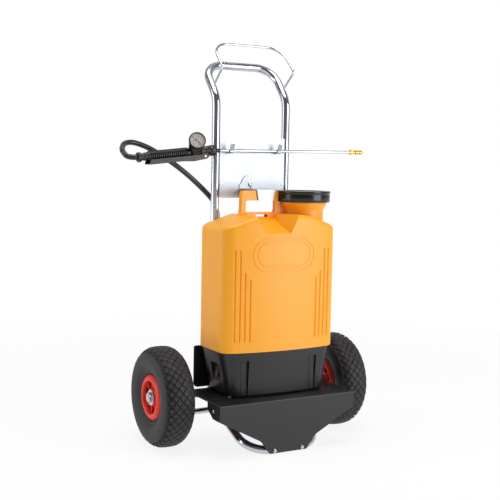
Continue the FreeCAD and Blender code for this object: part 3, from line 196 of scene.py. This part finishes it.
def cut_tread(mesh):
    """Joins the tread's quads into diamonds and sinks the grooves between them."""
    row_of = {round(along * 1e6): row for row, along in
              enumerate([-h for r, h in TREAD] + [h for r, h in TREAD[-2::-1]])}
    rows = {}
    for vert in mesh.verts:
        if math.hypot(vert.co.y, vert.co.z) > TREAD[0][0] - 1e-5:
            rows[vert] = row_of[round(vert.co.x * 1e6)]
    last = max(rows.values())
    step = math.tau / (2 * BLOCKS_ROUND)
    corners = {v for v, row in rows.items() if (round(math.atan2(v.co.y, v.co.z) / step) + row) % 2}
    for face in [f for f in mesh.faces if all(v in rows for v in f.verts)]:
        bmesh.utils.face_split(face, *[v for v in face.verts if v in corners])
    middles = [v for v, row in rows.items() if v not in corners and 0 < row < last]
    ends = [v for v, row in rows.items() if v not in corners and row in (0, last)]
    bmesh.ops.dissolve_verts(mesh, verts=middles)
    blocks = [f for f in mesh.faces if all(v in corners or v in ends for v in f.verts)]
    bmesh.ops.inset_individual(mesh, faces=blocks, thickness=GROOVE_HALF_WIDTH, use_even_offset=True)
    sunk = corners.union(*[f.verts for f in blocks])
    bmesh.ops.inset_individual(mesh, faces=blocks, thickness=GROOVE_WALL, use_even_offset=True)
    # Every groove is cut square to the surface, and the half blocks at the edge keep their feet.
    mesh.normal_update()
    down = {v: v.normal * GROOVE_DEPTH for v in sunk
            if min((v.co - end.co).length for end in ends) > 2 * GROOVE_HALF_WIDTH + 0.0001}
    for vert, depth in down.items():
        vert.co -= depth
    for block in blocks:
        block.smooth = False


# Vulcanised rubber: near black and matt, with a cloudy grey bloom and a fine grain.
rubber, tree, shader, place = finish("vulcanised_rubber", IOR=1.52, Roughness=0.62,
                                     Specular_IOR_Level=0.5)
bloom = add(tree, "TexNoise", {"Vector": place, "Scale": 1 / 0.035, "Detail": 5.0})
tone = add(tree, "ValToRGB", {"Fac": bloom})
tone.color_ramp.elements[0].color = linear("#1A171A")
tone.color_ramp.elements[1].color = linear("#282428")
# Painted shade: where the surface is hemmed in, down in the grooves, the colour is darkened to near
# black, and the bloom shows only on the open blocks.
hollow = add(tree, "AmbientOcclusion", {"Distance": 0.006}, samples=8)
painted_groove_shade = add(tree, "MapRange", {"Value": hollow.outputs["AO"], "From Min": 0.45, "From Max": 0.95})
add(tree, "MixRGB", {"Fac": painted_groove_shade, "Color1": linear("#070606"), "Color2": tone},
    into=shader.inputs["Base Color"])
grain = add(tree, "TexNoise", {"Vector": place, "Scale": 1 / 0.0012, "Detail": 3.0})
add(tree, "Bump", {"Distance": 0.05e-3, "Height": grain}, into=shader.inputs["Normal"])

whole_tyre = [(r, -h) for r, h in SIDEWALL + TREAD] + [(r, h) for r, h in (SIDEWALL + TREAD)[-2::-1]]
whole_tyre += [(r, h) for r, h in LINING[::-1]] + [(r, -h) for r, h in LINING[1:]]
for side in (-1, 1):
    mesh = bmesh.new()
    turn_section(mesh, whole_tyre, 2 * BLOCKS_ROUND)
    cut_tread(mesh)
    tyre = put_wheel_piece(mesh, side, "tread_tyre", rubber)
    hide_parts("tyre_left" if side < 0 else "tyre_right")
dress(rubber, "butyl", "inner_tube_left", "inner_tube_right")

# Glass-filled polypropylene rims, moulded in a bright red with a soft gloss.
red_plastic, tree, shader, place = finish("moulded_red_polypropylene", IOR=1.49, Roughness=0.38,
                                          Specular_IOR_Level=0.35, Base_Color=linear("#E23A26"))
flow = add(tree, "TexNoise", {"Vector": place, "Scale": 1 / 0.012, "Detail": 3.0})
add(tree, "Bump", {"Distance": 0.05e-3, "Height": flow}, into=shader.inputs["Normal"])

# Each rim is a deep dish with a rounded flange that stands proud of the tyre's bead, a flat
# web with eight ribs on either side, and a hub bored for its two bearings.
RIBS_ROUND = 8
RIB_TURN = math.radians(3)
PIPS_ROUND = 10
FLANGE = [(0.0535, 0.0180), (0.0545, 0.0250), (0.0590, 0.0290), (0.0592, 0.0300), (0.0570, 0.0328),
          (0.0530, 0.0356), (0.0490, 0.0371), (0.0455, 0.0373), (0.0432, 0.0362), (0.0422, 0.0340),
          (0.0416, 0.0200), (0.0410, 0.0060), (0.0395, 0.0040), (0.0240, 0.0040), (0.0226, 0.0055),
          (0.0225, 0.0285), (0.0212, 0.0298), (0.0178, 0.0298), (0.0178, 0.0190), (0.0125, 0.0190)]
whole_rim = [(r, -h) for r, h in FLANGE] + [(r, h) for r, h in FLANGE[::-1]]
for side in (-1, 1):
    mesh = bmesh.new()
    turn_section(mesh, whole_rim, 96)
    for turn in range(RIBS_ROUND):
        for face_side in (-1, 1):
            rib = bmesh.ops.create_cube(mesh, size=1.0)["verts"]
            bmesh.ops.scale(mesh, verts=rib, vec=(0.0260, 0.0200, 0.0030))
            bmesh.ops.translate(mesh, verts=rib, vec=(face_side * 0.0165, 0.0320, 0.0))
            bmesh.ops.rotate(mesh, verts=rib, cent=(0, 0, 0),
                             matrix=Matrix.Rotation(RIB_TURN + turn * math.tau / RIBS_ROUND, 3, "X"))
            edges = {e for v in rib for e in v.link_edges}
            bmesh.ops.bevel(mesh, geom=list(edges), affect="EDGES", offset=0.0007, segments=2,
                            profile=0.5, material=-1)
    rim = put_wheel_piece(mesh, side, "ribbed_rim", red_plastic)
    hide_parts("rim_left" if side < 0 else "rim_right")

    # A rubber grommet closes the hole in the dish where the valve is reached.
    mesh = bmesh.new()
    bmesh.ops.create_cone(mesh, cap_ends=True, segments=24, radius1=0.0058, radius2=0.0052, depth=0.003)
    bmesh.ops.translate(mesh, verts=mesh.verts, vec=(side * 0.0225, 0.0, -0.0410))
    bmesh.ops.rotate(mesh, verts=mesh.verts, cent=(0, 0, 0),
                     matrix=Matrix.Rotation(math.radians(104), 3, "X"))
    put_wheel_piece(mesh, side, "valve_grommet", rubber)

    # Vent pips that the mould leaves on the sidewall.
    mesh = bmesh.new()
    for turn in range(PIPS_ROUND):
        pip = bmesh.ops.create_icosphere(mesh, subdivisions=1, radius=0.0011)["verts"]
        bmesh.ops.translate(mesh, verts=pip, vec=(side * 0.0366, 0.0, 0.0712))
        bmesh.ops.rotate(mesh, verts=pip, cent=(0, 0, 0),
                         matrix=Matrix.Rotation(turn * math.tau / PIPS_ROUND, 3, "X"))
    put_wheel_piece(mesh, side, "vent_pips", rubber)
dress(plated, "bearing_steel", "bearings_left", "bearings_right")

# ---------------------------------------------------------------- base housing
# The tank's foot is an injection-moulded box that holds the battery and the pump, with a
# recessed rocker switch on its left side and the outlet for the hose behind.

# Polypropylene copolymer with a satin spark-eroded texture of about 0.5 mm grain.
housing, tree, shader, place = finish("satin_polypropylene", IOR=1.49, Base_Color=linear("#1B1A1A"))
spark = add(tree, "TexNoise", {"Vector": place, "Scale": 1 / 0.0005, "Detail": 2.0})
add(tree, "Bump", {"Distance": 0.015e-3, "Height": spark}, into=shader.inputs["Normal"])
sheen = add(tree, "TexNoise", {"Vector": place, "Scale": 1 / 0.080, "Detail": 2.0})
add(tree, "MapRange", {"Value": sheen, "To Min": 0.26, "To Max": 0.38}, into=shader.inputs["Roughness"])
dress(housing, "black_plastic", "base_housing", "switch_bezel", "outlet_elbow", "outlet_nut",
      "battery", "pump_motor", "pump_body")

# The rocker is a glossier moulding.
rocker_plastic, tree, shader, place = finish("glossy_polycarbonate", IOR=1.58, Roughness=0.14,
                                             Base_Color=linear("#3A3033"))
flow = add(tree, "TexNoise", {"Vector": place, "Scale": 1 / 0.008, "Detail": 1.0})
add(tree, "Bump", {"Distance": 0.01e-3, "Height": flow}, into=shader.inputs["Normal"])
dress(rocker_plastic, "switch_rocker", "rocker_switch")

# Clear PVC delivery pipe and the motor's ground steel shaft.
clear_pipe, tree, shader, place = finish("clear_soft_pvc", IOR=1.53, Roughness=0.2,
                                         Transmission_Weight=0.7, Base_Color=linear("#D9DCD6"))
haze = add(tree, "TexNoise", {"Vector": place, "Scale": 1 / 0.006, "Detail": 1.0})
add(tree, "Bump", {"Distance": 0.02e-3, "Height": haze}, into=shader.inputs["Normal"])
dress(clear_pipe, "clear_pipe", "delivery_pipe")
dress(plated, "bearing_steel", "motor_shaft")

# ---------------------------------------------------------------- tank
# A blow-moulded polyethylene tank: rounded, with flutes that stiffen its front, a moulded
# carrying handle and a wide neck. The oval panel on its front is empty.

# Blow-moulded HDPE is waxy: a soft gloss, light that bleeds a few millimetres under the
# skin, and a very shallow ripple where it cooled off the mould.
hdpe, tree, shader, place = finish("blow_moulded_hdpe", IOR=1.54, Subsurface_Weight=0.12,
                                   Subsurface_Radius=(1.0, 0.45, 0.12), Subsurface_Scale=0.004)
# Painted shade: in a narrow groove the base colour is deepened to a darker orange where the surface is
# hemmed in, standing in for the light that bounces from wall to wall there.
hollow = add(tree, "AmbientOcclusion", {"Distance": 0.008}, samples=8)
tone = add(tree, "ValToRGB", {"Fac": hollow.outputs["AO"]}, into=shader.inputs["Base Color"])
deep, open_skin = tone.color_ramp.elements
deep.color, deep.position = linear("#FF8A00"), 0.40
open_skin.color, open_skin.position = linear("#F8A610"), 0.95
ripple = add(tree, "TexNoise", {"Vector": place, "Scale": 1 / 0.030, "Detail": 1.0})
add(tree, "Bump", {"Distance": 0.12e-3, "Height": ripple}, into=shader.inputs["Normal"])
skin = add(tree, "TexNoise", {"Vector": place, "Scale": 1 / 0.050, "Detail": 3.0})
add(tree, "MapRange", {"Value": skin, "To Min": 0.36, "To Max": 0.44}, into=shader.inputs["Roughness"])
dress(hdpe, "orange_plastic", "tank")

# Two raised beads, one inside the other, frame the empty panel and follow the bowed front.
TANK_MIDDLE, TANK_FRONT, BOW = 0.004, -0.1233, 0.700
PANEL_SHIFT = 0.0013
BEAD_RADIUS, BEAD_SUNK = 0.0019, 0.0009
for name, half_length, half_height, centre in (("outer_panel_bead", 0.0890, 0.0420, 0.5033),
                                               ("inner_panel_bead", 0.0770, 0.0305, 0.5045)):
    mesh = bmesh.new()
    bmesh.ops.create_circle(mesh, cap_ends=False, segments=12, radius=BEAD_RADIUS)
    bmesh.ops.translate(mesh, verts=mesh.verts, vec=(half_height, 0, 0))
    bmesh.ops.spin(mesh, geom=mesh.verts[:] + mesh.edges[:], cent=(0, 0, 0), axis=(0, 1, 0),
                   angle=math.tau, steps=90, use_merge=True)
    bmesh.ops.remove_doubles(mesh, verts=mesh.verts, dist=1e-6)
    for vert in mesh.verts:
        # The two half rings are drawn apart by the straight runs between them.
        vert.co.x += math.copysign(half_length - half_height, vert.co.x)
        across = vert.co.x - PANEL_SHIFT
        vert.co.y += TANK_FRONT + BOW - math.sqrt(BOW ** 2 - across ** 2) + BEAD_SUNK
    bmesh.ops.translate(mesh, verts=mesh.verts, vec=(TANK_MIDDLE - PANEL_SHIFT, 0, centre))
    smooth(mesh)
    bead = into_object(mesh, name, hdpe)
    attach(bead, "cart")

# ---------------------------------------------------------------- cap and strainer
# A screw cap with a fluted skirt over a rubber gasket, and a pale basket strainer that
# hangs from the neck's rim: three mouldings stacked on the neck.

# The cap is polypropylene with a higher polish than the base.
cap_plastic, tree, shader, place = finish("polished_polypropylene", IOR=1.49, Roughness=0.24,
                                          Base_Color=linear("#14110F"))
flow = add(tree, "TexNoise", {"Vector": place, "Scale": 1 / 0.010, "Detail": 2.0})
add(tree, "Bump", {"Distance": 0.03e-3, "Height": flow}, into=shader.inputs["Normal"])

# The lid as moulded: a wide top rim over a smooth skirt with shallow finger flutes.
FLUTES, FLUTE_SHARE = 16, 0.0060
SKIRT_TOP, SKIRT_INSIDE = 0.6535, 0.0680
NECK = Vector((0.1046, -0.0385, 0.0))
LID = [(0.0, 0.6619), (0.0575, 0.6619), (0.0590, 0.6633), (0.0712, 0.6633), (0.0722, 0.6627),
       (0.0725, 0.6612), (0.0725, 0.6572), (0.0719, 0.6563), (0.0708, 0.6556), (0.0708, 0.6540),
       (0.0713, 0.6528), (0.0713, 0.6360), (0.0706, 0.6345), (0.0695, 0.6341), (0.0643, 0.6341),
       (0.0643, 0.6600), (0.0, 0.6600)]
mesh = bmesh.new()
chain = [mesh.verts.new((radius, 0.0, height)) for radius, height in LID]
edges = [mesh.edges.new(pair) for pair in zip(chain, chain[1:])]
bmesh.ops.spin(mesh, geom=chain + edges, cent=(0, 0, 0), axis=(0, 0, 1), angle=math.tau, steps=128,
               use_merge=True)
bmesh.ops.remove_doubles(mesh, verts=mesh.verts, dist=1e-5)
smooth(mesh)
for vert in mesh.verts:
    if vert.co.z < SKIRT_TOP and vert.co.xy.length > SKIRT_INSIDE:
        flute = math.cos(FLUTES * math.atan2(vert.co.y, vert.co.x))
        vert.co.xy *= 1 - FLUTE_SHARE * max(0.0, flute - 0.6)
bmesh.ops.translate(mesh, verts=mesh.verts, vec=NECK)
lid = into_object(mesh, "screw_lid", cap_plastic)
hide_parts("filler_cap")
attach(lid, "cap")
dress(rubber, "butyl", "cap_gasket")

# The strainer is the same plastic uncoloured: a milky off-white with a soft gloss.
strainer_plastic, tree, shader, place = finish("natural_polypropylene", IOR=1.49, Roughness=0.4,
                                               Base_Color=linear("#E6E2D6"))
flow = add(tree, "TexNoise", {"Vector": place, "Scale": 1 / 0.008, "Detail": 2.0})
add(tree, "Bump", {"Distance": 0.03e-3, "Height": flow}, into=shader.inputs["Normal"])
dress(strainer_plastic, "strainer_plastic", "strainer_basket")

# ---------------------------------------------------------------- lance
# The spray lance: a ribbed nylon grip with a squeeze lever under it, a union nut, a
# drawn steel tube and a brass nozzle, laid in the plate's two hooks.

# Glass-filled nylon, slightly brown-black and satin from handling.
nylon, tree, shader, place = finish("glass_filled_nylon", IOR=1.53, Base_Color=linear("#0F0C0D"))
fibres = add(tree, "TexNoise", {"Vector": place, "Scale": 1 / 0.0007, "Detail": 3.0})
add(tree, "Bump", {"Distance": 0.02e-3, "Height": fibres}, into=shader.inputs["Normal"])
handled = add(tree, "TexNoise", {"Vector": place, "Scale": 1 / 0.020, "Detail": 2.0})
add(tree, "MapRange", {"Value": handled, "To Min": 0.30, "To Max": 0.46}, into=shader.inputs["Roughness"])
dress(nylon, "black_plastic", "lance_handle", "hose_tail", "trigger", "gauge_case", "lance_nut")

# Drawn stainless tube: polished along its length.
stainless, tree, shader, place = finish("drawn_stainless", Metallic=1.0,
                                        Base_Color=linear("#C9CACE"))
along = add(tree, "Mapping", {"Vector": place, "Scale": (0.02, 1.0, 1.0)})
drawn = add(tree, "TexNoise", {"Vector": along, "Scale": 1 / 0.0010, "Detail": 2.0})
add(tree, "MapRange", {"Value": drawn, "To Min": 0.16, "To Max": 0.30}, into=shader.inputs["Roughness"])
dress(stainless, "lance_steel", "lance_tube", "trigger_pin")

# Turned brass, with the lathe's fine rings round it.
brass, tree, shader, place = finish("turned_brass", Metallic=1.0, Base_Color=linear("#E2A94A"))
rings = add(tree, "TexWave", {"Vector": place, "Scale": 1 / 0.0008 / 20, "Distortion": 0.4},
            wave_type="BANDS", bands_direction="X")
add(tree, "Bump", {"Distance": 0.01e-3, "Height": rings.outputs["Fac"]}, into=shader.inputs["Normal"])
tarnish = add(tree, "TexNoise", {"Vector": place, "Scale": 1 / 0.004, "Detail": 3.0})
add(tree, "MapRange", {"Value": tarnish, "To Min": 0.16, "To Max": 0.32}, into=shader.inputs["Roughness"])
dress(brass, "brass", "nozzle_holder", "nozzle_tip")

# ---------------------------------------------------------------- pressure gauge
# A pointer gauge screwed into the grip: a plain aluminium dial in the nylon case, a
# black pointer on its spindle and a clear acrylic window.

# Lacquered aluminium: a warm grey with a faint mottle and no glare.
dial_metal, tree, shader, place = finish("lacquered_dial", IOR=1.5, Roughness=0.5)
tint = add(tree, "TexNoise", {"Vector": place, "Scale": 1 / 0.006, "Detail": 2.0})
tone = add(tree, "ValToRGB", {"Fac": tint}, into=shader.inputs["Base Color"])
tone.color_ramp.elements[0].color = linear("#9C908A")
tone.color_ramp.elements[1].color = linear("#AA9E98")
dress(dial_metal, "dial", "gauge_dial")

# The pointer's black enamel has a clean gloss.
pointer, tree, shader, place = finish("black_enamel", IOR=1.5, Roughness=0.3,
                                      Base_Color=linear("#0C0B0B"))
flow = add(tree, "TexNoise", {"Vector": place, "Scale": 1 / 0.002, "Detail": 1.0})
add(tree, "Bump", {"Distance": 0.01e-3, "Height": flow}, into=shader.inputs["Normal"])
dress(pointer, "needle_black", "gauge_needle")

# Thin clear acrylic, which shows only as a reflection over the dial.
acrylic, tree, shader, place = finish("clear_acrylic", IOR=1.49, Roughness=0.04, Alpha=0.10,
                                      Base_Color=linear("#FAFAFA"))
wave = add(tree, "TexNoise", {"Vector": place, "Scale": 1 / 0.020, "Detail": 0.0})
add(tree, "Bump", {"Distance": 0.01e-3, "Height": wave}, into=shader.inputs["Normal"])
dress(acrylic, "lens", "gauge_lens")

# ---------------------------------------------------------------- hose
# One length of 14 mm braided PVC pressure hose, from the elbow behind the base up the
# uprights and round into the grip's tail.
HOSE_DIAMETER = 0.014
HOSE_ROUTE = [
    (0.055, 0.090, 0.206), (0.055, 0.090, 0.172), (0.038, 0.095, 0.128), (-0.018, 0.099, 0.106),
    (-0.070, 0.099, 0.128), (-0.090, 0.097, 0.190), (-0.092, 0.095, 0.300), (-0.086, 0.094, 0.420),
    (-0.084, 0.093, 0.530), (-0.080, 0.093, 0.616), (-0.117, 0.094, 0.656), (-0.186, 0.098, 0.714),
    (-0.263, 0.104, 0.762), (-0.316, 0.108, 0.782), (-0.348, 0.099, 0.779), (-0.363, 0.078, 0.765),
    (-0.370, 0.054, 0.755), (-0.3601, 0.039, 0.73992), (-0.31983, 0.039, 0.74429)]

curve = bpy.data.curves.new("pressure_hose", "CURVE")
curve.dimensions = "3D"
spline = curve.splines.new("NURBS")
spline.points.add(len(HOSE_ROUTE) - 1)
for point, (x, y, z) in zip(spline.points, HOSE_ROUTE):
    point.co = (x, y, z, 1)
spline.order_u = 3
spline.use_endpoint_u = True
spline.resolution_u = 16
curve.bevel_depth = HOSE_DIAMETER / 2
curve.bevel_resolution = 6
curve.use_fill_caps = True
hose = bpy.data.objects.new("pressure_hose", curve)
bpy.context.scene.collection.objects.link(hose)

# Soft black PVC: smooth, with a faint trace of the braid under its skin.
hose_pvc, tree, shader, place = finish("soft_black_pvc", IOR=1.53, Roughness=0.34,
                                       Base_Color=linear("#1D1A1E"))
braid = add(tree, "TexNoise", {"Vector": place, "Scale": 1 / 0.0020, "Detail": 2.0})
add(tree, "Bump", {"Distance": 0.03e-3, "Height": braid}, into=shader.inputs["Normal"])
curve.materials.append(hose_pvc)
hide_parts("hose")
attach(hose, "cart")

# ---------------------------------------------------------------- studio
# A pale floor that runs out to a white surround, with a large soft light on either side
# and one overhead.

# Matt white paint on the floor, with no gloss of its own.
mesh = bmesh.new()
bmesh.ops.create_circle(mesh, cap_ends=True, segments=96, radius=14.0)
bmesh.ops.translate(mesh, verts=mesh.verts, vec=(0, 0, -0.0005))
floor_paint, tree, shader, place = finish("matt_white_floor", Roughness=0.9, IOR=1.45,
                                          Specular_IOR_Level=0.0, Base_Color=linear("#F4F4F4"))
rays = add(tree, "LightPath", {})
either = add(tree, "Math", {0: rays.outputs["Is Camera Ray"], 1: rays.outputs["Is Glossy Ray"]},
             operation="MAXIMUM")
seen = add(tree, "Math", {0: either.outputs["Value"], 1: rays.outputs["Is Transmission Ray"]},
           operation="MAXIMUM")
# The floor runs out into the white surround between 0.6 and 2.2 metres from the middle.
away = add(tree, "VectorMath", {0: place}, operation="LENGTH")
clear = add(tree, "MapRange", {"Value": away.outputs["Value"], "From Min": 0.6, "From Max": 2.2,
                               "To Min": 0.86, "To Max": 1.0})
share = add(tree, "Math", {0: seen.outputs["Value"], 1: clear.outputs["Result"]},
            operation="MULTIPLY")
white = add(tree, "Emission", {"Color": (1, 1, 1, 1), "Strength": 1.0})
mixed = add(tree, "MixShader", {"Fac": share.outputs["Value"], 1: shader.outputs["BSDF"],
                                2: white.outputs["Emission"]})
tree.links.new(mixed.outputs["Shader"], tree.nodes["Material Output"].inputs["Surface"])
floor = into_object(mesh, "studio_floor", floor_paint)

world = bpy.data.worlds.new("studio")
bpy.context.scene.world = world
world.use_nodes = True
tree = world.node_tree
room = tree.nodes["Background"]
room.inputs["Color"].default_value = (1.0, 1.0, 1.0, 1.0)
# The room behind the object is white, and darkens round to the camera's side.
towards = add(tree, "TexCoord", {}).outputs["Generated"]
away = add(tree, "VectorMath", {0: towards, 1: (0.49, 0.87, 0.0)}, operation="DOT_PRODUCT")
dark = add(tree, "MapRange", {"Value": away.outputs["Value"], "From Min": 0.0, "From Max": 0.9,
                              "To Min": 0.13, "To Max": 0.85})
tree.links.new(dark.outputs["Result"], room.inputs["Strength"])
white = add(tree, "Background", {"Color": (1, 1, 1, 1), "Strength": 1.0})
rays = add(tree, "LightPath", {})
seen = add(tree, "Math", {0: rays.outputs["Is Camera Ray"], 1: rays.outputs["Is Transmission Ray"]},
           operation="MAXIMUM")
mixed = add(tree, "MixShader", {"Fac": seen.outputs["Value"], 1: room.outputs["Background"],
                                2: white.outputs["Background"]})
tree.links.new(mixed.outputs["Shader"], tree.nodes["World Output"].inputs["Surface"])

for name, where, width, height, power in (("left_softbox", (-2.6, 0.7, 1.1), 1.6, 2.2, 28),
                                          ("right_softbox", (1.5, -2.3, 1.0), 1.6, 2.2, 52),
                                          ("top_softbox", (-0.2, -0.4, 3.0), 2.0, 1.6, 50)):
    light = bpy.data.lights.new(name, "AREA")
    light.shape = "RECTANGLE"
    light.size, light.size_y, light.energy = width, height, power
    lamp = bpy.data.objects.new(name, light)
    lamp.location = where
    lamp.rotation_euler = (Vector((0, 0, 0.5)) - Vector(where)).to_track_quat("-Z", "Y").to_euler()
    bpy.context.scene.collection.objects.link(lamp)

# The camera stands to the left of the front, at about the height of the handle's plate.
camera = bpy.data.objects.new("camera", bpy.data.cameras.new("camera"))
camera.data.lens, camera.data.sensor_width = 71.16, 36.0
heading, pitch, roll = math.radians(29.49), math.radians(5.07), math.radians(1.09)
camera.matrix_world = (Matrix.Translation((-1.30615, -2.25334, 0.73561))
                       @ Matrix.Rotation(-heading, 4, "Z")
                       @ Matrix.Rotation(math.radians(90) - pitch, 4, "X")
                       @ Matrix.Rotation(roll, 4, "Z"))
bpy.context.scene.collection.objects.link(camera)
bpy.context.scene.camera = camera
bpy.context.scene.view_settings.view_transform = "Standard"
